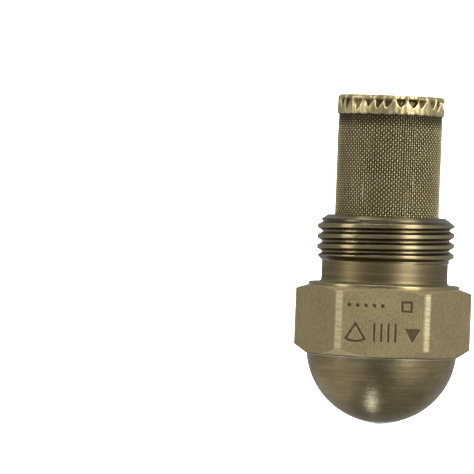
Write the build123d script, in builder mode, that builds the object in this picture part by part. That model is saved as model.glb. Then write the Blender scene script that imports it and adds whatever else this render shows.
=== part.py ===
from build123d import *

import os
from math import cos, radians, sin, sqrt, tan

# Oil burner nozzle with its screw-in wire strainer, in millimetres.
# The origin is on the axis, in the plane of the rim of the spray outlet at the bottom of the
# dome. +Z runs along the axis to the strainer's cap. One wrench flat faces -Y.

# ---------------------------------------------------------------- nozzle body, outside
dome_radius = 7.80
hex_across_flats = 16.0
hex_corner_radius = 9.10  # the bar's corners are turned down to this radius
hex_bottom_height = 7.02
hex_bottom_radius = 7.95
hex_corner_start_height = 7.82
hex_corner_end_height = 13.62
collar_radius = 7.80
collar_start_height = 14.07
collar_top_height = 14.38
collar_top_rise = 0.06
collar_edge_radius = 0.12
neck_radius = 6.53
neck_fillet_radius = 0.35
thread_start_height = 16.60
body_thread_radius = 7.10  # 9/16-24 UNEF
body_thread_root_radius = 6.60
seat_start_height = 20.61
seat_top_radius = 6.10
body_top_height = 21.34

# ---------------------------------------------------------------- threads
thread_pitch = 25.4 / 24
flank_angle = 30
flank_points = 8
crest_overrun = 0.10  # a rod is made this much too fat, then cut back to a true cylinder
body_thread_root_half_width = 0.066
cone_overrun = 0.50

# ---------------------------------------------------------------- nozzle body, inside
nose_hole_radius = 2.00
disc_seat_height = 3.00
chamber_radius = 3.95
relief_radius = 4.90
relief_bottom_height = 7.10
relief_top_height = 8.20
tapped_bore_radius = 4.80  # 3/8-24 UNF, kept plain at its major radius with running clearance
mouth_radius = 5.60
mouth_floor_height = 19.79
mouth_chamfer = 0.14

# ---------------------------------------------------------------- marks on the front flat
mark_depth = 0.12
mark_stroke = 0.22
mark_lower_row = -0.95
mark_upper_row = 1.75
fan_position = -2.75
fan_half_angle = 32
fan_reach = 2.10
tally_position = 0.25
tally_height = 1.90
tally_spacing = 0.72
tally_count = 4
arrow_position = 3.05
arrow_radius = 0.95
dots_position = -1.75
dot_radius = 0.20
dot_count = 5
dot_spacing = 0.85
square_position = 2.40
square_width = 1.15

# ---------------------------------------------------------------- orifice disc
outlet_rim_radius = 0.90
outlet_depth = 0.42
orifice_radius = 0.35
orifice_end_height = 1.10
disc_flange_radius = 3.94
disc_nose_radius = 1.99
disc_top_height = 4.60
swirl_cone_top_radius = 2.00

# ---------------------------------------------------------------- swirl distributor
seat_gap = 0.03
swirl_tip_radius = 1.00
flange_bottom_height = 5.20
flange_top_height = 6.30
distributor_flange_radius = 3.70
stem_radius = 2.00
stem_bore_radius = 1.20
stem_bore_floor_height = 6.90
stem_top_height = 8.75
cross_hole_radius = 0.55
cross_hole_height = 7.50
rim_notch_radius = 0.55
rim_notch_count = 6
swirl_slot_count = 4
swirl_slot_width = 0.45
swirl_slot_depth = 0.60
swirl_slot_offset = 0.75
swirl_slot_length = 3.40

# ---------------------------------------------------------------- mating 3/8-24 screws
stub_thread_radius = 4.70
stub_root_radius = 4.12
stub_root_half_width = 0.121
thread_lead_in = 0.40
thread_crest_margin = 0.05

# ---------------------------------------------------------------- retaining screw
screw_top_height = 12.75
screw_bore_radius = 1.50
driver_slot_width = 1.40
driver_slot_depth = 1.40

# ---------------------------------------------------------------- strainer
gasket_thickness = 0.25
gasket_inner_radius = 4.88
gasket_outer_radius = 5.50
base_bottom_height = 14.60
base_thread_end_height = 18.90
base_neck_radius = 4.00
base_flange_radius = 5.52
base_flange_thickness = 0.50
base_spigot_radius = 4.96
base_spigot_height = 1.36
base_bore_radius = 2.40
base_bore_chamfer = 0.80
cage_inner_radius = 4.97
cage_outer_radius = 5.17
window_width = 5.15
window_height = 3.28
window_corner_radius = 0.30
window_centre_heights = (24.10, 28.85)
window_count = 3  # round the sleeve, so that a solid strip faces each window across the axis
mesh_inner_radius = 5.18
mesh_outer_radius = 5.39
mesh_neck_radius = 5.30
mesh_neck_start_height = 30.20
mesh_neck_end_height = 31.50
mesh_top_height = 33.20
ferrule_inner_radius = 5.40
ferrule_outer_radius = 5.52
ferrule_lip_thickness = 0.10
ferrule_top_height = 21.28
seam_gap = 0.01
seam_thickness = 0.08
seam_angle = 15
seam_bottom_height = 21.40
seam_top_height = 31.70
cap_bottom_height = 31.77
cap_top_height = 33.76
cap_outer_radius = 5.58
cap_inner_radius = 5.31
cap_ceiling_thickness = 0.30
cap_edge_radius = 0.42
pleat_count = 28
pleat_width = 0.55
pleat_depth = 0.24
pleat_foot_height = 32.10
pleat_run_out = 0.03

# ---------------------------------------------------------------- derived
dome_centre_height = sqrt(dome_radius**2 - outlet_rim_radius**2)
dome_bottom_height = dome_centre_height - dome_radius
hex_middle_height = (hex_bottom_height + collar_start_height) / 2
swirl_cone_slope = (swirl_cone_top_radius - orifice_radius) / (disc_top_height - orifice_end_height)
gasket_top_height = mouth_floor_height + gasket_thickness
flange_shoulder_height = gasket_top_height + base_flange_thickness
cage_top_height = cap_top_height - cap_ceiling_thickness
mesh_bottom_height = flange_shoulder_height + ferrule_lip_thickness
above_everything = cap_top_height + 5.0

os.makedirs("parts", exist_ok=True)


def turn(points, mode=Mode.ADD):
    """Revolve a closed outline of (radius, height) points about the axis."""
    with BuildSketch(Plane.XZ) as outline:
        with BuildLine():
            Polyline(*points, close=True)
        make_face()
    revolve(outline.sketch, axis=Axis.Z, mode=mode)


def thread_rod(root_radius, crest_radius, root_half_width, low, high):
    """Right-hand single-start threaded rod, made by twisting its cross-section along Z.

    Its groove crosses the +X direction at whole multiples of the pitch, so that rods on one axis
    are in phase.
    """
    depth = crest_radius - root_radius
    rim_half_width = root_half_width + depth * tan(radians(flank_angle))
    flank = []
    for step in range(flank_points + 1):
        share = step / flank_points
        half_width = root_half_width + (rim_half_width - root_half_width) * share
        angle = radians(360 * half_width / thread_pitch)
        radius = root_radius + depth * share
        flank.append((radius * cos(angle), radius * sin(angle)))
    mirrored_flank = [(x, -y) for x, y in flank]
    with BuildSketch() as section:
        with BuildLine():
            ThreePointArc(mirrored_flank[0], (root_radius, 0), flank[0])
            Spline(*flank)
            ThreePointArc(flank[-1], (-crest_radius, 0), mirrored_flank[-1])
            Spline(*reversed(mirrored_flank))
        make_face()
    length = high - low
    twist = 360 * length / thread_pitch
    rod = Solid.extrude_linear_with_rotation(section.face(), (0, 0, 0), (0, 0, length), twist)
    start_angle = 360 * low / thread_pitch
    return rod.rotate(Axis.Z, start_angle).moved(Location((0, 0, low)))


def save(part, name):
    """Label a finished piece and write its STEP file."""
    part.label = name
    export_step(part, f"parts/{name}.step")


# ---------------------------------------------------------------- nozzle_body
dome_join_radius = sqrt(dome_radius**2 - (dome_centre_height - hex_bottom_height) ** 2)
dome_mid_point = (dome_radius * sin(radians(45)), dome_centre_height - dome_radius * cos(radians(45)))
thread_chamfer = body_thread_radius - neck_radius
seat_slope = (body_thread_radius - seat_top_radius) / (body_top_height - seat_start_height)
outside_radius = body_thread_radius + 2 * cone_overrun
front_flat = Plane((0, -hex_across_flats / 2, hex_middle_height), x_dir=(1, 0, 0), z_dir=(0, -1, 0))
fan_apex = (fan_position, mark_lower_row + fan_reach / 2)
square_hole_width = square_width - 2 * mark_stroke

# The 9/16-24 thread between the neck and the top, ending in a seat cone.
body_thread_blank = thread_rod(
    body_thread_root_radius,
    body_thread_radius + crest_overrun,
    body_thread_root_half_width,
    thread_start_height,
    body_top_height,
)
with BuildPart() as body_thread:
    add(body_thread_blank)
    with BuildSketch(Plane.XY.offset(thread_start_height - 1)):
        Circle(body_thread_radius)
    extrude(amount=body_top_height - thread_start_height + 2, mode=Mode.INTERSECT)
    turn(
        (
            (body_thread_radius + cone_overrun * seat_slope, seat_start_height - cone_overrun),
            (seat_top_radius - cone_overrun * seat_slope, body_top_height + cone_overrun),
            (outside_radius, body_top_height + cone_overrun),
            (outside_radius, seat_start_height - cone_overrun),
        ),
        mode=Mode.SUBTRACT,
    )
    turn(
        (
            (neck_radius - cone_overrun, thread_start_height - cone_overrun),
            (
                body_thread_radius + cone_overrun,
                thread_start_height + thread_chamfer + cone_overrun,
            ),
            (outside_radius, thread_start_height + thread_chamfer + cone_overrun),
            (outside_radius, thread_start_height - cone_overrun),
        ),
        mode=Mode.SUBTRACT,
    )

with BuildPart() as nozzle_body:
    # Hexagon, with its corners turned to a drum and chamfered at both ends.
    with BuildSketch(Plane.XY.offset(hex_bottom_height)):
        RegularPolygon(hex_across_flats / 2, 6, major_radius=False)
    extrude(amount=collar_start_height - hex_bottom_height)
    turn(
        (
            (0, hex_bottom_height),
            (hex_bottom_radius, hex_bottom_height),
            (hex_corner_radius, hex_corner_start_height),
            (hex_corner_radius, hex_corner_end_height),
            (collar_radius, collar_start_height),
            (0, collar_start_height),
        ),
        mode=Mode.INTERSECT,
    )

    # Dome below the hexagon.
    with BuildSketch(Plane.XZ):
        with BuildLine():
            ThreePointArc(
                (0, dome_bottom_height), dome_mid_point, (dome_join_radius, hex_bottom_height)
            )
            Line((dome_join_radius, hex_bottom_height), (0, hex_bottom_height))
            Line((0, hex_bottom_height), (0, dome_bottom_height))
        make_face()
    revolve()

    # Collar and neck above the hexagon, then the threaded end.
    with BuildSketch(Plane.XZ) as shank:
        with BuildLine():
            Polyline(
                (0, collar_start_height),
                (collar_radius, collar_start_height),
                (collar_radius, collar_top_height),
                (neck_radius, collar_top_height + collar_top_rise),
                (neck_radius, thread_start_height),
                (0, thread_start_height),
                close=True,
            )
        make_face()
        collar_corner = shank.vertices().sort_by(Axis.X)[-2:].sort_by(Axis.Y)[-1]
        fillet(collar_corner, collar_edge_radius)
        neck_corner = shank.vertices().filter_by_position(Axis.X, neck_radius, neck_radius)
        fillet(neck_corner.sort_by(Axis.Y)[0], neck_fillet_radius)
    revolve()
    add(body_thread.part)

    # Stepped bore: disc seat, chamber, thread relief, tapped length and strainer mouth.
    turn(
        (
            (0, dome_bottom_height - 1),
            (nose_hole_radius, dome_bottom_height - 1),
            (nose_hole_radius, disc_seat_height),
            (chamber_radius, disc_seat_height),
            (chamber_radius, relief_bottom_height),
            (relief_radius, relief_bottom_height),
            (relief_radius, relief_top_height),
            (tapped_bore_radius, relief_top_height),
            (tapped_bore_radius, mouth_floor_height),
            (mouth_radius, mouth_floor_height),
            (mouth_radius, body_top_height - mouth_chamfer),
            (mouth_radius + mouth_chamfer, body_top_height),
            (mouth_radius + mouth_chamfer, above_everything),
            (0, above_everything),
        ),
        mode=Mode.SUBTRACT,
    )

    # Shallow pictogram marks on the flat that faces -Y: spray fan, tally bars and arrow below,
    # a row of dots and a small square above.
    with BuildSketch(front_flat):
        with BuildLine():
            fan_left = PolarLine(fan_apex, fan_reach, -90 - fan_half_angle)
            fan_right = PolarLine(fan_apex, fan_reach, -90 + fan_half_angle)
            ThreePointArc(fan_left @ 1, (fan_apex[0], fan_apex[1] - fan_reach), fan_right @ 1)
        make_face()
        offset(amount=-mark_stroke, kind=Kind.INTERSECTION, mode=Mode.SUBTRACT)
        with Locations((tally_position, mark_lower_row)):
            with GridLocations(tally_spacing, 1, tally_count, 1):
                Rectangle(mark_stroke, tally_height)
        with Locations((arrow_position, mark_lower_row)):
            RegularPolygon(arrow_radius, 3, rotation=-90)
        with Locations((dots_position, mark_upper_row)):
            with GridLocations(dot_spacing, 1, dot_count, 1):
                Circle(dot_radius)
        with Locations((square_position, mark_upper_row)):
            Rectangle(square_width, square_width)
            Rectangle(square_hole_width, square_hole_width, mode=Mode.SUBTRACT)
    extrude(amount=-mark_depth, mode=Mode.SUBTRACT)
save(nozzle_body.part, "nozzle_body")

# ---------------------------------------------------------------- orifice_disc
ball_top_height = dome_centre_height + dome_radius
with BuildPart() as orifice_disc:
    # Nose with a ball end that carries on the dome, and a flange that sits on the body's floor.
    turn(
        (
            (0, dome_bottom_height),
            (disc_nose_radius, dome_bottom_height),
            (disc_nose_radius, disc_seat_height),
            (disc_flange_radius, disc_seat_height),
            (disc_flange_radius, disc_top_height),
            (0, disc_top_height),
        )
    )
    with BuildSketch(Plane.XZ):
        with BuildLine():
            ThreePointArc(
                (0, dome_bottom_height), (dome_radius, dome_centre_height), (0, ball_top_height)
            )
            Line((0, ball_top_height), (0, dome_bottom_height))
        make_face()
    revolve(mode=Mode.INTERSECT)

    # Flared outlet, orifice and the swirl cone above it.
    turn(
        (
            (0, -1),
            (outlet_rim_radius, -1),
            (outlet_rim_radius, 0),
            (orifice_radius, outlet_depth),
            (orifice_radius, orifice_end_height),
            (swirl_cone_top_radius, disc_top_height),
            (swirl_cone_top_radius, disc_top_height + 1),
            (0, disc_top_height + 1),
        ),
        mode=Mode.SUBTRACT,
    )
save(orifice_disc.part, "orifice_disc")

# ---------------------------------------------------------------- swirl_distributor
cone_bottom_height = orifice_end_height + (swirl_tip_radius - orifice_radius) / swirl_cone_slope
cone_top_radius = swirl_cone_top_radius + (flange_bottom_height - disc_top_height) * swirl_cone_slope
slot_mid_height = (cone_bottom_height + disc_top_height) / 2
slot_mid_radius = orifice_radius + (slot_mid_height - orifice_end_height) * swirl_cone_slope
slot_plane = Plane(
    (slot_mid_radius, 0, slot_mid_height + seat_gap),
    x_dir=(swirl_cone_slope, 0, 1),
    z_dir=(1, 0, -swirl_cone_slope),
).offset(-swirl_slot_depth)

with BuildPart() as swirl_slot:
    with BuildSketch(slot_plane):
        with Locations((0, swirl_slot_offset)):
            Rectangle(swirl_slot_length, swirl_slot_width)
    extrude(amount=2 * swirl_slot_depth)

with BuildPart() as swirl_distributor:
    turn(
        (
            (0, cone_bottom_height + seat_gap),
            (swirl_tip_radius, cone_bottom_height + seat_gap),
            (cone_top_radius, flange_bottom_height + seat_gap),
            (distributor_flange_radius, flange_bottom_height + seat_gap),
            (distributor_flange_radius, flange_top_height),
            (stem_radius, flange_top_height),
            (stem_radius, stem_top_height),
            (stem_bore_radius, stem_top_height),
            (stem_bore_radius, stem_bore_floor_height),
            (0, stem_bore_floor_height),
        )
    )
    # Oil leaves the stem by two cross holes, passes the notched rim and enters the swirl slots.
    for hole_plane in (Plane.XZ, Plane.YZ):
        with BuildSketch(hole_plane):
            with Locations((0, cross_hole_height)):
                Circle(cross_hole_radius)
        extrude(amount=2 * stem_radius, both=True, mode=Mode.SUBTRACT)
    with BuildSketch(Plane.XY.offset(flange_bottom_height)):
        with PolarLocations(distributor_flange_radius, rim_notch_count):
            Circle(rim_notch_radius)
    extrude(amount=flange_top_height - flange_bottom_height, mode=Mode.SUBTRACT)
    with PolarLocations(0, swirl_slot_count):
        add(swirl_slot.part, mode=Mode.SUBTRACT)
save(swirl_distributor.part, "swirl_distributor")

# ---------------------------------------------------------------- retaining_screw
lead_in_height = thread_lead_in + thread_crest_margin
lead_in_radius = stub_thread_radius + thread_crest_margin
screw_thread = thread_rod(
    stub_root_radius, stub_thread_radius, stub_root_half_width, stem_top_height, screw_top_height
)
with BuildPart() as retaining_screw:
    add(screw_thread)
    turn(
        (
            (0, stem_top_height),
            (stub_thread_radius - thread_lead_in, stem_top_height),
            (lead_in_radius, stem_top_height + lead_in_height),
            (lead_in_radius, screw_top_height - lead_in_height),
            (stub_thread_radius - thread_lead_in, screw_top_height),
            (0, screw_top_height),
        ),
        mode=Mode.INTERSECT,
    )
    with BuildSketch(Plane.XY.offset(stem_top_height)):
        Circle(screw_bore_radius)
    extrude(amount=screw_top_height - stem_top_height, mode=Mode.SUBTRACT)
    with BuildSketch(Plane.XY.offset(screw_top_height)):
        Rectangle(3 * stub_thread_radius, driver_slot_width)
    extrude(amount=-driver_slot_depth, mode=Mode.SUBTRACT)
save(retaining_screw.part, "retaining_screw")

# ---------------------------------------------------------------- strainer_gasket
with BuildPart() as strainer_gasket:
    with BuildSketch(Plane.XY.offset(mouth_floor_height)):
        Circle(gasket_outer_radius)
        Circle(gasket_inner_radius, mode=Mode.SUBTRACT)
    extrude(amount=gasket_thickness)
save(strainer_gasket.part, "strainer_gasket")

# ---------------------------------------------------------------- strainer_base
spigot_top_height = flange_shoulder_height + base_spigot_height
base_thread = thread_rod(
    stub_root_radius,
    stub_thread_radius,
    stub_root_half_width,
    base_bottom_height,
    base_thread_end_height,
)
with BuildPart() as strainer_base:
    add(base_thread)
    turn(
        (
            (0, base_bottom_height),
            (stub_thread_radius - thread_lead_in, base_bottom_height),
            (lead_in_radius, base_bottom_height + lead_in_height),
            (lead_in_radius, base_thread_end_height - lead_in_height),
            (stub_thread_radius - thread_lead_in, base_thread_end_height),
            (0, base_thread_end_height),
        ),
        mode=Mode.INTERSECT,
    )
    turn(
        (
            (0, base_thread_end_height),
            (base_neck_radius, base_thread_end_height),
            (base_neck_radius, gasket_top_height),
            (base_flange_radius, gasket_top_height),
            (base_flange_radius, flange_shoulder_height),
            (base_spigot_radius, flange_shoulder_height),
            (base_spigot_radius, spigot_top_height),
            (0, spigot_top_height),
        )
    )
    turn(
        (
            (0, base_bottom_height - 1),
            (base_bore_radius, base_bottom_height - 1),
            (base_bore_radius, spigot_top_height - base_bore_chamfer),
            (base_bore_radius + base_bore_chamfer, spigot_top_height),
            (base_bore_radius + base_bore_chamfer, above_everything),
            (0, above_everything),
        ),
        mode=Mode.SUBTRACT,
    )
save(strainer_base.part, "strainer_base")

# ---------------------------------------------------------------- strainer_cage
with BuildPart() as cage_window_column:
    with BuildSketch(Plane.XZ):
        for window_centre_height in window_centre_heights:
            with Locations((0, window_centre_height)):
                RectangleRounded(window_width, window_height, window_corner_radius)
    extrude(amount=2 * cage_outer_radius)

with BuildPart() as strainer_cage:
    with BuildSketch(Plane.XY.offset(flange_shoulder_height)):
        Circle(cage_outer_radius)
        Circle(cage_inner_radius, mode=Mode.SUBTRACT)
    extrude(amount=cage_top_height - flange_shoulder_height)
    # Two rows of punched windows.
    with PolarLocations(0, window_count):
        add(cage_window_column.part, mode=Mode.SUBTRACT)
save(strainer_cage.part, "strainer_cage")

# ---------------------------------------------------------------- strainer_mesh
with BuildPart() as strainer_mesh:
    turn(
        (
            (mesh_inner_radius, mesh_bottom_height),
            (mesh_outer_radius, mesh_bottom_height),
            (mesh_outer_radius, mesh_neck_start_height),
            (mesh_neck_radius, mesh_neck_end_height),
            (mesh_neck_radius, mesh_top_height),
            (mesh_inner_radius, mesh_top_height),
        )
    )
save(strainer_mesh.part, "strainer_mesh")

# ---------------------------------------------------------------- mesh_seam
# The lap where the cloth's two edges meet, on the side away from the marked flat.
seam_plane = Plane.XZ.rotated((0, 0, 90 - seam_angle / 2))
seam_inner_radius = mesh_outer_radius + seam_gap
seam_neck_radius = mesh_neck_radius + seam_gap
with BuildPart() as mesh_seam:
    with BuildSketch(seam_plane):
        with BuildLine():
            Polyline(
                (seam_inner_radius, seam_bottom_height),
                (seam_inner_radius + seam_thickness, seam_bottom_height),
                (seam_inner_radius + seam_thickness, mesh_neck_start_height),
                (seam_neck_radius + seam_thickness, mesh_neck_end_height),
                (seam_neck_radius + seam_thickness, seam_top_height),
                (seam_neck_radius, seam_top_height),
                (seam_neck_radius, mesh_neck_end_height),
                (seam_inner_radius, mesh_neck_start_height),
                close=True,
            )
        make_face()
    revolve(axis=Axis.Z, revolution_arc=seam_angle)
save(mesh_seam.part, "mesh_seam")

# ---------------------------------------------------------------- base_ferrule
with BuildPart() as base_ferrule:
    turn(
        (
            (mesh_inner_radius, flange_shoulder_height),
            (ferrule_outer_radius, flange_shoulder_height),
            (ferrule_outer_radius, ferrule_top_height),
            (ferrule_inner_radius, ferrule_top_height),
            (ferrule_inner_radius, flange_shoulder_height + ferrule_lip_thickness),
            (mesh_inner_radius, flange_shoulder_height + ferrule_lip_thickness),
        )
    )
save(base_ferrule.part, "base_ferrule")

# ---------------------------------------------------------------- strainer_cap
# The pleats are wedge-shaped creases, deepest at the shoulder and running out down the skirt.
crease_foot = Vector(cap_outer_radius + pleat_run_out, 0, pleat_foot_height)
crease_head = Vector(cap_outer_radius - pleat_depth, 0, cap_top_height)
crease_plane = Plane(crease_foot, x_dir=(0, 1, 0), z_dir=crease_head - crease_foot)
crease_length = (crease_head - crease_foot).length + pleat_depth

with BuildPart() as pleat_crease:
    with BuildSketch(crease_plane):
        with BuildLine():
            Polyline(
                (0, 0), (pleat_width / 2, -pleat_width), (-pleat_width / 2, -pleat_width), close=True
            )
        make_face()
    extrude(amount=crease_length)

with BuildPart() as strainer_cap:
    with BuildSketch(Plane.XY.offset(cap_bottom_height)):
        Circle(cap_outer_radius)
    extrude(amount=cap_top_height - cap_bottom_height)
    fillet(strainer_cap.faces().sort_by(Axis.Z)[-1].edges(), cap_edge_radius)
    with BuildSketch(Plane.XY.offset(cap_bottom_height)):
        Circle(cap_inner_radius)
    extrude(amount=cage_top_height - cap_bottom_height, mode=Mode.SUBTRACT)
    with PolarLocations(0, pleat_count):
        add(pleat_crease.part, mode=Mode.SUBTRACT)
save(strainer_cap.part, "strainer_cap")
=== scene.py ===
"""Looks of the oil burner nozzle: woven strainer cloth, crimped cap, turned and tumbled metal."""

import functools
import math

import bpy
import numpy as np
from mathutils import Euler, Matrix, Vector


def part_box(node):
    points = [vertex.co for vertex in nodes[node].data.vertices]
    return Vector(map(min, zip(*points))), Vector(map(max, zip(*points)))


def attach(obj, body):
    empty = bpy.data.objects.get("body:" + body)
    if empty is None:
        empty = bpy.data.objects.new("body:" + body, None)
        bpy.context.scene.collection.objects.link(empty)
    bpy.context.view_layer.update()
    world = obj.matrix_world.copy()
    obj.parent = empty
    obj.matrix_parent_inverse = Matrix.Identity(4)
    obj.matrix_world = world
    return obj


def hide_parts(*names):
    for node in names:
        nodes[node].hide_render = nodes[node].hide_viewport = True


MM = 0.001
TAU = 2 * math.pi

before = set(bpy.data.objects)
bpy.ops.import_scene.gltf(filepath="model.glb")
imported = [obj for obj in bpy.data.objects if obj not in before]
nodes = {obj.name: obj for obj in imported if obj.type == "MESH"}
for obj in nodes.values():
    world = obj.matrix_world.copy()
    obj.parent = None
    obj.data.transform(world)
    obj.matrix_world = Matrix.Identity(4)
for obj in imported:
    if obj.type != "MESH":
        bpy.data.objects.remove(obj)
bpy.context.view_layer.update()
rng = np.random.default_rng(7)

bpy.context.scene.view_settings.view_transform = "Standard"
bpy.context.scene.view_settings.look = "None"


# ------------------------------------------------------------------ meshes
def mesh_object(name, points, faces):
    """A new smooth object from arrays of points in metres and of four-corner faces."""
    mesh = bpy.data.meshes.new(name)
    mesh.from_pydata(points.tolist(), [], faces.tolist())
    mesh.polygons.foreach_set("use_smooth", [True] * len(mesh.polygons))
    mesh.update()
    made = bpy.data.objects.new(name, mesh)
    bpy.context.scene.collection.objects.link(made)
    return made


def grid_faces(outer, inner, outer_closed=True, inner_closed=True):
    """Faces of a grid of points whose inner index runs fastest; a closed side meets its own start."""
    first, second = np.meshgrid(
        np.arange(outer if outer_closed else outer - 1),
        np.arange(inner if inner_closed else inner - 1),
        indexing="ij",
    )
    next_first = (first + 1) % outer
    next_second = (second + 1) % inner
    corners = ((first, second), (first, next_second), (next_first, next_second), (next_first, second))
    return np.stack([a * inner + b for a, b in corners], axis=-1).reshape(-1, 4)


def unit(vectors):
    return vectors / np.linalg.norm(vectors, axis=-1, keepdims=True)


def tubes(paths, outward, radius, sides, closed):
    """Tubes along many paths at once: paths (n, m, 3), with outward a vector across each point."""
    count, length, _ = paths.shape
    if closed:
        along = unit(np.roll(paths, -1, axis=1) - np.roll(paths, 1, axis=1))
    else:
        along = unit(np.gradient(paths, axis=1))
    across = unit(outward - along * np.sum(outward * along, axis=2, keepdims=True))
    third = np.cross(along, across)
    turn = (TAU * np.arange(sides) / sides)[:, None]
    ring = across[:, :, None] * np.cos(turn) + third[:, :, None] * np.sin(turn)
    points = (paths[:, :, None] + radius * ring).reshape(-1, 3)
    first_point = length * sides * np.arange(count)
    faces = first_point[:, None, None] + grid_faces(length, sides, outer_closed=closed)
    return points, faces.reshape(-1, 4)


def lathe(profile, columns, shape):
    """Closed skin of revolution from a closed (radius, height) profile and shape(angle, r, z) -> (r, z)."""
    radius, height = np.asarray(profile, float).T
    angle, r = np.meshgrid(TAU * np.arange(columns) / columns, radius, indexing="ij")
    r, z = shape(angle, r, np.broadcast_to(height, r.shape))
    points = np.stack([r * np.cos(angle), r * np.sin(angle), z], axis=-1).reshape(-1, 3) * MM
    outward_faces = grid_faces(columns, len(profile))[:, [0, 3, 2, 1]]
    return points, outward_faces


def step_up(value, low, high):
    """0 at low, 1 at high and smooth between them."""
    share = np.clip((value - low) / (high - low), 0, 1)
    return share * share * (3 - 2 * share)


# ------------------------------------------------------------------ strainer cloth (millimetres)
WARP_COUNT = 134
WEFT_PITCH = 0.233
WIRE_RADIUS = 0.060
WIRE_LIFT = 0.90 * WIRE_RADIUS
WIRE_SIDES = 5
CLOTH_RADIUS = 5.290
CLOTH_LOW, CLOTH_HIGH = 20.75, 32.45
DRAWN_IN = 0.045
DRAWN_LOW, DRAWN_HIGH = 30.2, 31.5
WEFT_SCATTER, WEFT_WAVE = 0.008, 0.012
# Round the axis, in radians
WARP_SCATTER, WARP_WAVE = 0.0011, 0.0012


def cloth_radius(height):
    """Middle radius of the cloth, drawn in a little under the cap."""
    return CLOTH_RADIUS - DRAWN_IN * step_up(height, DRAWN_LOW, DRAWN_HIGH)


def over_and_under(wire_count, step_count):
    """1 where a wire lies over, -1 where it lies under and 0 between, for each wire and half pitch."""
    first = np.where(np.arange(wire_count) % 2 == 0, 1.0, -1.0)
    return first[:, None] * np.cos(math.pi * np.arange(step_count) / 2)


def wires(name, radius, angle, height, closed):
    """The wires of one direction, from arrays in which each row is a wire."""
    radius, angle, height = np.broadcast_arrays(radius, angle, height)
    outward = np.stack([np.cos(angle), np.sin(angle), np.zeros_like(angle)], axis=-1)
    paths = radius[..., None] * outward
    paths[..., 2] = height
    return mesh_object(name, *tubes(paths * MM, outward, WIRE_RADIUS * MM, WIRE_SIDES, closed))


def weave():
    """Plain weave: each wire passes over one and under the next of the crossing wires."""
    rows = int((CLOTH_HIGH - CLOTH_LOW) / WEFT_PITCH) + 1
    row_height = CLOTH_LOW + WEFT_PITCH * np.arange(rows) + rng.normal(0, WEFT_SCATTER, rows)
    warp_angle = TAU * np.arange(WARP_COUNT) / WARP_COUNT + rng.normal(0, WARP_SCATTER, WARP_COUNT)

    height = np.interp(np.arange(2 * rows - 1) / 2, np.arange(rows), row_height)
    radius = cloth_radius(height) - WIRE_LIFT * over_and_under(WARP_COUNT, len(height))
    sway = warp_angle[:, None] + WARP_WAVE * np.sin(height * 1.7)
    warp = wires("strainer_cloth_warp", radius, sway, height, closed=False)

    full_turn = np.append(warp_angle, warp_angle[0] + TAU)
    angle = np.interp(np.arange(2 * WARP_COUNT) / 2, np.arange(WARP_COUNT + 1), full_turn)
    radius = cloth_radius(row_height)[:, None] + WIRE_LIFT * over_and_under(rows, len(angle))
    wobble = row_height[:, None] + WEFT_WAVE * np.sin(angle * 3 + row_height[:, None])
    weft = wires("strainer_cloth_weft", radius, angle, wobble, closed=True)
    return warp, weft


# ------------------------------------------------------------------ crimped cap (millimetres)
cap_box_low, cap_box_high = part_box("strainer_cap")
CAP_LOW, CAP_HIGH = cap_box_low.z / MM, cap_box_high.z / MM
CAP_RADIUS = cap_box_high.x / MM
CAP_INNER = 5.10
CAP_SHEET = 0.22
CAP_BEND = 0.34
CAP_STEP_LOW, CAP_STEP_HIGH = 32.3, 32.6
PLEATS = 28
PLEAT_COLUMNS = 30
HEM_DRAWN_IN, RIM_DRAWN_IN = 0.05, 0.06
WIDE_DENT, FINE_DENT = 0.015, 0.012
HEM_WAVE, RIM_WAVE = 0.07, 0.02


def cap_profile():
    """Closed (radius, height) outline of the cap's wall: hem, skirt, shoulder, top and inside."""
    bend_radius, bend_height = CAP_RADIUS - CAP_BEND, CAP_HIGH - CAP_BEND
    outline = [
        (CAP_INNER + CAP_SHEET, CAP_LOW + 0.03),
        (CAP_RADIUS - 0.09, CAP_LOW),
        (CAP_RADIUS - 0.03, CAP_LOW + 0.05),
    ]
    outline += [(CAP_RADIUS, height) for height in np.linspace(CAP_LOW + 0.14, bend_height, 30)]
    outline += [
        (bend_radius + CAP_BEND * math.cos(turn), bend_height + CAP_BEND * math.sin(turn))
        for turn in np.linspace(0.1, 1, 10) * math.pi / 2
    ]
    outline += [(radius, CAP_HIGH) for radius in (5.0, 4.6, 3.8, 2.6, 1.2, 0.05)]
    outline += [(radius, CAP_HIGH - CAP_SHEET) for radius in (0.05, 2.6, 4.6, 4.9)]
    outline += [
        (CAP_INNER, CAP_HIGH - 0.40),
        (CAP_INNER, CAP_STEP_HIGH),
        (CAP_INNER + CAP_SHEET, CAP_STEP_LOW),
    ]
    return outline


def draw_pleats():
    """Place, depth, lean, foot and width of each uneven pleat."""
    return zip(
        TAU * (np.arange(PLEATS) + rng.uniform(-0.16, 0.16, PLEATS)) / PLEATS,
        rng.uniform(0.22, 0.34, PLEATS),
        rng.normal(0.30, 0.22, PLEATS),
        rng.uniform(0.10, 0.34, PLEATS),
        rng.uniform(0.38, 0.52, PLEATS),
    )


def pleat_pits(angle, up):
    """How far the V-shaped pits are pressed in; each opens from its foot to just under the rim."""
    pull = np.zeros_like(angle)
    for place, deep, lean, foot, width in draw_pleats():
        across = (angle - place + math.pi) % TAU - math.pi
        across = across * PLEATS / TAU + lean * (0.9 - up)
        reach = 0.03 + width * np.clip((up - foot) / (0.72 - foot), 0, 1)
        pit = np.clip((1 - np.abs(across) / reach) * 2.4, 0, 1) * step_up(up, foot - 0.02, foot + 0.16)
        pull = np.maximum(pull, deep * pit)
    return pull * (1 - 0.66 * step_up(up, 0.66, 0.84))


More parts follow.
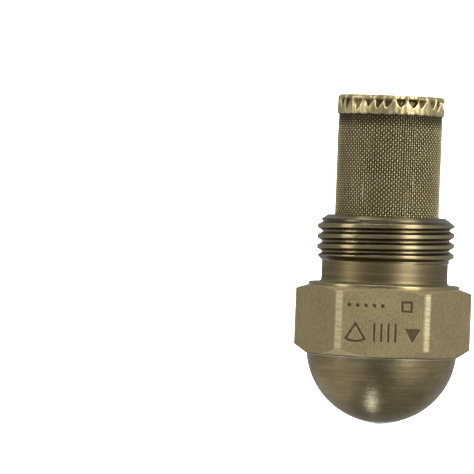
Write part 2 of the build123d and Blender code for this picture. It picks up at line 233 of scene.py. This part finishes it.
def crimp(angle, r, z):
    """Presses pits and dents into the cap's outer skin, and waves its hem and rim."""
    skin = np.clip((r - CAP_INNER - 0.25) / 0.2, 0, 1)
    up = np.clip((z - CAP_LOW) / (CAP_HIGH - CAP_LOW), 0, 1)
    taper = HEM_DRAWN_IN * step_up(up, 0.45, 0.0) + RIM_DRAWN_IN * step_up(up, 0.86, 1.0)
    dent = WIDE_DENT * (1 + np.sin(angle * 9 + 1.0))
    dent += FINE_DENT * (1 + np.sin(angle * PLEATS * 2 + 0.7 * np.sin(angle * 3)))
    hem = HEM_WAVE * np.sin(angle * PLEATS + 0.8 * np.sin(angle * 5)) * (up < 0.12) * skin
    rim = RIM_WAVE * (1 + np.sin(angle * 23 + 2 * np.sin(angle * 4))) * (z > CAP_HIGH - CAP_BEND) * skin
    return r - skin * (pleat_pits(angle, up) + taper + dent), z + np.maximum(hem, -0.02) - rim


def crimped_cap():
    """Thin pressed cup whose skirt is pinched into uneven, slightly leaning pleats."""
    return mesh_object("strainer_cap_crimped", *lathe(cap_profile(), PLEATS * PLEAT_COLUMNS, crimp))


# ------------------------------------------------------------------ node helpers
def new_material(name):
    material = bpy.data.materials.new(name)
    material.use_nodes = True
    material.node_tree.nodes.clear()
    return material, material.node_tree


def add(tree, kind, inputs=None, **settings):
    """A new node with its settings and its input values or links."""
    node = tree.nodes.new(kind)
    for key, value in settings.items():
        setattr(node, key, value)
    for key, value in (inputs or {}).items():
        if isinstance(value, bpy.types.NodeSocket):
            tree.links.new(value, node.inputs[key])
        else:
            node.inputs[key].default_value = value
    return node


def math_node(tree, operation, *values, clamp=False):
    node = add(tree, "ShaderNodeMath", dict(enumerate(values)), operation=operation, use_clamp=clamp)
    return node.outputs[0]


def times(tree, *values):
    return functools.reduce(functools.partial(math_node, tree, "MULTIPLY"), values)


def plus(tree, *values):
    return functools.reduce(functools.partial(math_node, tree, "ADD"), values)


def carry(tree, value, start, end, low=0.0, high=1.0):
    """Value carried from start..end to low..high and held beyond both ends."""
    inputs = {"Value": value, "From Min": start, "From Max": end, "To Min": low, "To Max": high}
    return add(tree, "ShaderNodeMapRange", inputs, clamp=True).outputs[0]


def band(tree, value, low, high, soft):
    """1 where value lies between low and high, with soft edges."""
    rise = carry(tree, value, low - soft, low + soft)
    fall = carry(tree, value, high + soft, high - soft)
    return times(tree, rise, fall)


def mix_colour(tree, factor, first, second):
    """From the first colour to the second; a colour is a socket or red, green and blue."""
    node = add(tree, "ShaderNodeMix", {0: factor}, data_type="RGBA")
    for socket, colour in ((6, first), (7, second)):
        if isinstance(colour, bpy.types.NodeSocket):
            tree.links.new(colour, node.inputs[socket])
        else:
            node.inputs[socket].default_value = (*colour, 1)
    return node.outputs[2]


def layered(tree, colour, layers):
    """A colour with (factor, tint) layers laid over it in turn."""
    for factor, tint in layers:
        colour = mix_colour(tree, factor, colour, tint)
    return colour


def noise(tree, scale, detail, roughness=0.55):
    """Noise over the object's metres, with its own fineness along each axis."""
    point = add(tree, "ShaderNodeTexCoord").outputs["Object"]
    scaled = add(tree, "ShaderNodeMapping", {"Vector": point, "Scale": scale}).outputs[0]
    inputs = {"Vector": scaled, "Scale": 1.0, "Detail": detail, "Roughness": roughness}
    return add(tree, "ShaderNodeTexNoise", inputs).outputs[0]


def spread(tree, value, low, high):
    """Noise stretched from its usual range to low..high."""
    return carry(tree, value, 0.3, 0.7, low, high)


def position(tree):
    """x, y, distance from the nozzle's axis, and height on it, in millimetres."""
    point = add(tree, "ShaderNodeTexCoord").outputs["Object"]
    split = add(tree, "ShaderNodeSeparateXYZ", {0: point})
    x, y, z = (math_node(tree, "DIVIDE", split.outputs[axis], MM) for axis in range(3))
    squares = plus(tree, times(tree, x, x), times(tree, y, y))
    return x, y, math_node(tree, "SQRT", squares), z


# ------------------------------------------------------------------ materials
BUMP_DISTANCE = 0.02 * MM
BEVEL_SAMPLES = 4


def metal(tree, colour, roughness, relief, bump, edge, turned=0.0):
    """Metal with edges rounded to edge millimetres under its bump; turned stretches its gloss."""
    rounded = add(tree, "ShaderNodeBevel", {"Radius": edge * MM}, samples=BEVEL_SAMPLES).outputs[0]
    raised = {"Strength": bump, "Distance": BUMP_DISTANCE, "Height": relief, "Normal": rounded}
    around = add(tree, "ShaderNodeTangent", direction_type="RADIAL", axis="Z").outputs[0]
    surface = add(
        tree,
        "ShaderNodeBsdfPrincipled",
        {
            "Base Color": colour,
            "Metallic": 1.0,
            "Roughness": roughness,
            "Normal": add(tree, "ShaderNodeBump", raised).outputs[0],
            "Anisotropic": turned,
            "Anisotropic Rotation": 0.25,
            "Tangent": around,
        },
    )
    output = add(tree, "ShaderNodeOutputMaterial")
    tree.links.new(surface.outputs[0], output.inputs[0])


# Where the body's regions begin and end, in millimetres
HEX_LOW, HEX_HIGH = 7.05, 14.05
NECK_LOW, NECK_HIGH = 14.36, 16.55
THREAD_LOW, THREAD_HIGH = 16.50, 21.30
SEAT_LOW = 20.66
CORNER_RADIUS = 9.01
ROOT_RADII = (6.40, 6.66)
FLANK_RADII = (6.68, 7.04)
MARK_HALF_WIDTH = 4.1
MARK_FRONT, MARK_FLOOR = -7.985, -7.8


def body_zones(tree):
    """Masks of the body's regions by name, from their heights and radii."""
    x, y, distance, height = position(tree)
    normal = add(tree, "ShaderNodeNewGeometry").outputs["Normal"]
    upward = add(tree, "ShaderNodeSeparateXYZ", {0: normal}).outputs[2]
    hexagon = band(tree, height, HEX_LOW, HEX_HIGH, 0.03)
    thread = band(tree, height, THREAD_LOW, THREAD_HIGH, 0.04)
    mark_rows = band(tree, height, HEX_LOW + 1.0, HEX_HIGH - 0.6, 0.02)
    mark_columns = band(tree, x, -MARK_HALF_WIDTH, MARK_HALF_WIDTH, 0.01)
    mark_depth = band(tree, y, MARK_FRONT, MARK_FLOOR, 0.012)
    return {
        "hexagon": hexagon,
        "turned": math_node(tree, "SUBTRACT", 1.0, hexagon),
        "corner": times(tree, hexagon, band(tree, distance, CORNER_RADIUS, 12.0, 0.03)),
        "chamfer": times(tree, hexagon, band(tree, upward, -0.95, -0.35, 0.05)),
        "mark": times(tree, mark_rows, mark_columns, mark_depth),
        "root": times(tree, thread, band(tree, distance, *ROOT_RADII, 0.03)),
        "flank": times(tree, thread, band(tree, distance, *FLANK_RADII, 0.04)),
        "dome": band(tree, height, -1.0, HEX_LOW, 0.05),
        "ring": band(tree, height, HEX_LOW - 0.16, HEX_LOW + 0.02, 0.03),
        "crease": band(tree, height, HEX_LOW - 0.03, HEX_LOW + 0.06, 0.02),
        "neck": band(tree, height, NECK_LOW, NECK_HIGH, 0.05),
        "seat": band(tree, height, SEAT_LOW, 22.0, 0.04),
    }


def body_colour(tree, zone, blotch, grain, scratches):
    """Olive flats with light grain, browner turned faces, thread flanks painted dark as shade and light
    corners.
    """
    long_lines = noise(tree, (110, 110, 6200), detail=3)
    patches = noise(tree, (520, 520, 1500), detail=6, roughness=0.7)
    dull = plus(tree, times(tree, zone["neck"], 0.5), times(tree, zone["seat"], 0.85))
    rubbed = times(tree, spread(tree, long_lines, 0, 0.60), zone["turned"])
    rubbed = math_node(tree, "SUBTRACT", rubbed, times(tree, dull, 0.45), clamp=True)
    olive = mix_colour(tree, spread(tree, blotch, 0, 1), (0.285, 0.233, 0.115), (0.375, 0.310, 0.160))
    layers = (
        (times(tree, spread(tree, grain, 0, 1), zone["hexagon"]), (0.53, 0.45, 0.25)),
        # Painted light: the downward-facing chamfer is painted brighter so it does not look darker than the
        # flats.
        (times(tree, zone["chamfer"], 0.8), (0.80, 0.69, 0.40)),
        (times(tree, zone["turned"], 0.30), (0.215, 0.165, 0.085)),
        (dull, (0.125, 0.100, 0.056)),
        (rubbed, (0.47, 0.405, 0.25)),
        (times(tree, zone["dome"], spread(tree, patches, 0, 0.75)), (0.205, 0.160, 0.095)),
        (times(tree, zone["corner"], spread(tree, scratches, 0.15, 0.95)), (0.74, 0.655, 0.44)),
        # Painted shade: the thread flanks are painted dark as if in shadow between the crests.
        (times(tree, zone["flank"], 0.85), (0.050, 0.040, 0.026)),
        # Painted highlight: a lighter line in the thread roots, standing in for their reflection.
        (times(tree, zone["root"], 0.3), (0.30, 0.25, 0.17)),
        # Painted shade: the recessed floor of the stamped marks is painted dark.
        (times(tree, zone["mark"], 0.7), (0.060, 0.048, 0.026)),
        # Painted highlight: a thin light line along the top edge of the dome.
        (times(tree, zone["ring"], 0.6), (0.60, 0.55, 0.42)),
        # Painted shadow: a thin dark line at the foot of the hexagon, above the dome.
        (times(tree, zone["crease"], 0.85), (0.050, 0.040, 0.022)),
    )
    return layered(tree, olive, layers)


def body_relief(tree, zone, grain, scratches):
    """Grain on the flats, lathe lines on the turned faces, scratched corners and a dented dome."""
    lines = noise(tree, (160, 160, 9500), detail=2)
    dents = noise(tree, (900, 900, 3600), detail=3)
    line_depth = plus(tree, 1.6, times(tree, zone["dome"], 1.6))
    return plus(
        tree,
        times(tree, grain, zone["hexagon"], 1.8),
        times(tree, lines, zone["turned"], line_depth),
        times(tree, dents, zone["dome"], 3.5),
        times(tree, scratches, zone["corner"], 1.5),
    )


def body_material():
    """Tumbled flats, turned dome and neck, a thread darkened by painted shade and scratched corners."""
    material, tree = new_material("nozzle_body_metal")
    zone = body_zones(tree)
    blotch = noise(tree, (260, 260, 260), detail=5)
    grain = noise(tree, (7000, 7000, 3200), detail=3)
    scratches = noise(tree, (700, 700, 5200), detail=3)
    roughness = plus(
        tree,
        times(tree, zone["hexagon"], 0.24),
        times(tree, zone["neck"], 0.22),
        times(tree, zone["corner"], 0.12),
        spread(tree, blotch, 0.25, 0.31),
    )
    colour = body_colour(tree, zone, blotch, grain, scratches)
    relief = body_relief(tree, zone, grain, scratches)
    metal(tree, colour, roughness, relief, bump=0.35, edge=0.10, turned=times(tree, zone["turned"], 0.6))
    return material


def plain_metal(name, tints, roughness, line_scale=(400, 400, 4000), bump=0.25):
    """Turned or pressed metal with faint lines and blotches, for the smaller parts."""
    material, tree = new_material(name)
    blotch = noise(tree, (500, 500, 500), detail=4)
    lines = noise(tree, line_scale, detail=2)
    colour = mix_colour(tree, spread(tree, blotch, 0, 1), *tints)
    rough = spread(tree, lines, roughness - 0.05, roughness + 0.08)
    metal(tree, colour, rough, lines, bump, edge=0.06)
    return material


def cloth_material(name, tints):
    """Drawn wire, painted dark as shade where it sinks into the weave and left bright where it stands out
    of it.
    """
    material, tree = new_material(name)
    _, _, distance, _ = position(tree)
    blotch = noise(tree, (420, 420, 300), detail=4)
    speck = noise(tree, (4200, 4200, 4200), detail=1)
    # Painted shade: darker the nearer the wire lies to the middle of the cloth, where it passes under the
    # crossing wires.
    dip_shade = carry(tree, distance, CLOTH_RADIUS + 0.092, CLOTH_RADIUS + 0.025)
    colour = mix_colour(tree, spread(tree, blotch, 0, 1), *tints)
    layers = (
        (spread(tree, speck, 0, 0.25), (0.80, 0.70, 0.44)),
        (times(tree, dip_shade, 0.95), (0.040, 0.031, 0.017)),
    )
    colour = layered(tree, colour, layers)
    metal(tree, colour, spread(tree, blotch, 0.42, 0.32), speck, bump=0.15, edge=0.005)
    return material


def cage_material():
    """Punched sleeve, painted dark as shade under the cloth and painted light on its inside, as if lit
    through the windows.
    """
    material, tree = new_material("cage_brass")
    _, _, distance, _ = position(tree)
    blotch = noise(tree, (500, 500, 500), detail=4)
    # Painted shade: the outer face under the cloth is dark because the cloth shades it.
    shaded_outside = mix_colour(tree, spread(tree, blotch, 0, 1), (0.10, 0.082, 0.046), (0.17, 0.14, 0.08))
    # Painted light: the inside face is light brass, as if lit through the windows.
    inside = band(tree, distance, 0.0, 5.02, 0.03)
    colour = mix_colour(tree, inside, shaded_outside, (0.55, 0.47, 0.28))
    metal(tree, colour, spread(tree, blotch, 0.42, 0.52), blotch, bump=0.2, edge=0.04)
    return material


def cap_material():
    """Pale gold, bright on the ridges, with painted shade in the creases and a rougher top painted darker
    to tone down the key panel's reflection.
    """
    material, tree = new_material("cap_brass")
    _, _, distance, height = position(tree)
    blotch = noise(tree, (900, 900, 700), detail=4)
    scratch = noise(tree, (3000, 3000, 900), detail=2)
    # Painted shade: darker the deeper the pleat pits are pressed in.
    depth = carry(tree, distance, CAP_RADIUS - 0.07, CAP_RADIUS - 0.26)
    crease = times(tree, depth, band(tree, height, CAP_LOW - 1, CAP_HIGH - 0.20, 0.10))
    # Painted shade: the top face is painted darker to tone down the key panel's reflection on it, and is
    # made a little rougher.
    top = band(tree, height, CAP_HIGH - 0.02, CAP_HIGH + 1, 0.01)
    gold = mix_colour(tree, spread(tree, blotch, 0, 1), (0.50, 0.405, 0.185), (0.82, 0.715, 0.41))
    layers = (
        (times(tree, crease, 0.93), (0.060, 0.042, 0.018)),
        (times(tree, top, 0.6), (0.42, 0.34, 0.165)),
    )
    rough = plus(tree, spread(tree, blotch, 0.26, 0.38), times(tree, top, 0.12))
    metal(tree, layered(tree, gold, layers), rough, scratch, bump=0.30, edge=0.02)
    return material


# ------------------------------------------------------------------ stage, light and camera (metres)
FLOOR_DROP = 0.0001
FLOOR_REACH = 0.5
FLOOR_BEND = 0.35
WALL_HEIGHT = 1.6
FLOOR_COLUMNS = 96


def backdrop():
    """Pale floor that curves up all round, seamless from any side and clear when seen from below."""
    profile = [(radius, -FLOOR_DROP) for radius in (0.0005, 0.25, FLOOR_REACH)]
    for turn in np.linspace(0.1, 1, 10) * math.pi / 2:
        rise = FLOOR_BEND - FLOOR_BEND * math.cos(turn) - FLOOR_DROP
        profile.append((FLOOR_REACH + FLOOR_BEND * math.sin(turn), rise))
    profile.append((FLOOR_REACH + FLOOR_BEND, WALL_HEIGHT))
    angles = TAU * np.arange(FLOOR_COLUMNS) / FLOOR_COLUMNS
    points = np.array([(r * math.cos(a), r * math.sin(a), z) for a in angles for r, z in profile])
    faces = grid_faces(FLOOR_COLUMNS, len(profile), inner_closed=False)
    floor = mesh_object("studio_floor", points, faces)
    floor.data.materials.append(backdrop_material())
    floor.visible_glossy = False


def backdrop_material():
    """White that glows a little, and lets the view through from behind."""
    material, tree = new_material("studio_white")
    grain = noise(tree, (60, 60, 60), detail=2)
    colour = mix_colour(tree, grain, (0.93, 0.93, 0.93), (0.95, 0.95, 0.95))
    surface = add(tree, "ShaderNodeBsdfDiffuse", {"Color": colour})
    glow = add(tree, "ShaderNodeEmission", {"Color": (1, 1, 1, 1), "Strength": 0.75})
    both = add(tree, "ShaderNodeAddShader", {0: surface.outputs[0], 1: glow.outputs[0]})
    clear = add(tree, "ShaderNodeBsdfTransparent")
    behind = add(tree, "ShaderNodeNewGeometry").outputs["Backfacing"]
    shown = add(tree, "ShaderNodeMixShader", {0: behind, 1: both.outputs[0], 2: clear.outputs[0]})
    output = add(tree, "ShaderNodeOutputMaterial")
    tree.links.new(shown.outputs[0], output.inputs[0])
    return material


# Brightness round the nozzle, by degrees to the right of the direction to the camera.
SURROUNDINGS = (
    (-180, 0.44),
    (-110, 0.40),
    (-80, 0.36),
    (-52, 0.46),
    (-32, 0.50),
    (-17, 0.33),
    (8, 0.30),
    (24, 0.56),
    (44, 1.22),
    (66, 0.80),
    (110, 0.50),
    (180, 0.50),
)


def surroundings_ramp(tree, direction):
    """Brightness by the compass direction of a view ray, smooth between the listed stops."""
    toward = math_node(tree, "MULTIPLY", direction.outputs[1], -1.0)
    turn = math_node(tree, "ARCTAN2", direction.outputs[0], toward)
    share = plus(tree, math_node(tree, "DIVIDE", turn, TAU), 0.5)
    ramp = add(tree, "ShaderNodeValToRGB", {0: share})
    ramp.color_ramp.interpolation = "B_SPLINE"
    elements = ramp.color_ramp.elements
    while len(elements) > 1:
        elements.remove(elements[-1])
    for count, (degrees, value) in enumerate(SURROUNDINGS):
        place = degrees / 360 + 0.5
        stop = elements[0] if count == 0 else elements.new(place)
        stop.position = place
        stop.color = (value, value, value, 1)
    return ramp.outputs[0]


def studio_world():
    """Soft surroundings for the metal to mirror, darker toward the camera, with one low glint."""
    world = bpy.data.worlds.new("studio")
    bpy.context.scene.world = world
    world.use_nodes = True
    tree = world.node_tree
    tree.nodes.clear()
    generated = add(tree, "ShaderNodeTexCoord").outputs["Generated"]
    direction = add(tree, "ShaderNodeSeparateXYZ", {0: generated})
    x, y, z = direction.outputs
    below = band(tree, z, -2.0, -0.62, 0.18)
    above = band(tree, z, 0.38, 2.0, 0.2)
    low_left = times(tree, band(tree, x, -1.2, -0.42, 0.14), band(tree, z, -0.88, -0.28, 0.12))
    glint = times(tree, below, band(tree, x, -0.21, -0.07, 0.05), band(tree, y, -0.25, 0.25, 0.10))
    layers = (
        (times(tree, below, 0.85), (0.30, 0.29, 0.28)),
        (low_left, (0.76, 0.74, 0.70)),
        (glint, (4.2, 4.5, 5.4)),
        (times(tree, above, 0.8), (0.58, 0.58, 0.58)),
    )
    sky = layered(tree, surroundings_ramp(tree, direction), layers)
    background = add(tree, "ShaderNodeBackground", {"Color": sky, "Strength": 0.85})
    output = add(tree, "ShaderNodeOutputWorld")
    tree.links.new(background.outputs[0], output.inputs[0])


def area_light(name, place, target, size, power, colour):
    """A rectangular panel that faces its target."""
    lamp = bpy.data.lights.new(name, "AREA")
    lamp.shape = "RECTANGLE"
    lamp.size, lamp.size_y = size
    lamp.energy = power
    lamp.color = colour
    made = bpy.data.objects.new(name, lamp)
    bpy.context.scene.collection.objects.link(made)
    made.location = place
    made.rotation_euler = (Vector(target) - Vector(place)).to_track_quat("-Z", "Y").to_euler()


def lights():
    middle = (0, 0, 0.015)
    warm_white = (1.0, 0.98, 0.94)
    area_light("key_panel", (0.30, -0.32, 0.20), middle, (0.20, 0.34), 1.5, warm_white)
    area_light("fill_panel", (-0.38, -0.16, 0.16), middle, (0.16, 0.30), 0.5, warm_white)
    area_light("top_panel", (0.0, 0.05, 0.50), (0, 0, 0.0), (0.35, 0.35), 1.6, (1, 1, 1))


CAMERA_DISTANCE = 0.360
CAMERA_HEIGHT = 0.024
CAMERA_YAW, CAMERA_PITCH, CAMERA_ROLL = 2.45, -0.86, 2.23
SENSOR_WIDTH = 36.0
PICTURE_WIDTH = 0.04906


def camera():
    """Close to level, with the nozzle right of the middle and leaning a little to the right."""
    data = bpy.data.cameras.new("camera")
    made = bpy.data.objects.new("camera", data)
    bpy.context.scene.collection.objects.link(made)
    data.sensor_width = SENSOR_WIDTH
    data.lens = SENSOR_WIDTH * CAMERA_DISTANCE / PICTURE_WIDTH
    data.clip_start, data.clip_end = 0.01, 10.0
    made.location = (0, -CAMERA_DISTANCE, CAMERA_HEIGHT)
    aim = Euler((math.radians(90 + CAMERA_PITCH), 0, math.radians(CAMERA_YAW)), "XYZ").to_matrix()
    lean = Euler((0, 0, math.radians(CAMERA_ROLL)), "XYZ").to_matrix()
    made.rotation_euler = (aim @ lean).to_euler()
    bpy.context.scene.camera = made


# ------------------------------------------------------------------ put together
BRASS = ((0.42, 0.33, 0.16), (0.60, 0.49, 0.27))
STEEL = ((0.36, 0.35, 0.33), (0.55, 0.54, 0.51))
SOLDER = ((0.21, 0.18, 0.115), (0.50, 0.45, 0.31))
COPPER = ((0.40, 0.20, 0.11), (0.58, 0.31, 0.18))
# Painted light: warp and weft are the same wire, with the warp tints painted lit and the weft tints painted
# shaded.
WARP_LIT_TINTS = ((0.80, 0.665, 0.36), (1.0, 0.87, 0.50))
WEFT_SHADED_TINTS = ((0.20, 0.16, 0.08), (0.33, 0.27, 0.14))


def dress(name, material):
    """Give a CAD node its only material."""
    nodes[name].data.materials.clear()
    nodes[name].data.materials.append(material)


def stand_in(piece, node, material):
    """Dress a piece of the strainer and show it in place of its CAD node."""
    piece.data.materials.append(material)
    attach(piece, "strainer")
    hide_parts(node)


dress("nozzle_body", body_material())
dress("orifice_disc", plain_metal("disc_steel", STEEL, 0.25))
dress("swirl_distributor", plain_metal("distributor_steel", STEEL, 0.28))
dress("retaining_screw", plain_metal("screw_brass", BRASS, 0.30))
dress("strainer_gasket", plain_metal("gasket_copper", COPPER, 0.45))
dress("strainer_base", plain_metal("base_brass", BRASS, 0.32))
dress("strainer_cage", cage_material())
dress("mesh_seam", plain_metal("seam_solder", SOLDER, 0.40, line_scale=(500, 500, 2600), bump=1.0))
dress("base_ferrule", plain_metal("ferrule_brass", BRASS, 0.30))

for wire_set, tints in zip(weave(), (WARP_LIT_TINTS, WEFT_SHADED_TINTS)):
    stand_in(wire_set, "strainer_mesh", cloth_material(wire_set.name + "_metal", tints))
stand_in(crimped_cap(), "strainer_cap", cap_material())

backdrop()
studio_world()
lights()
camera()
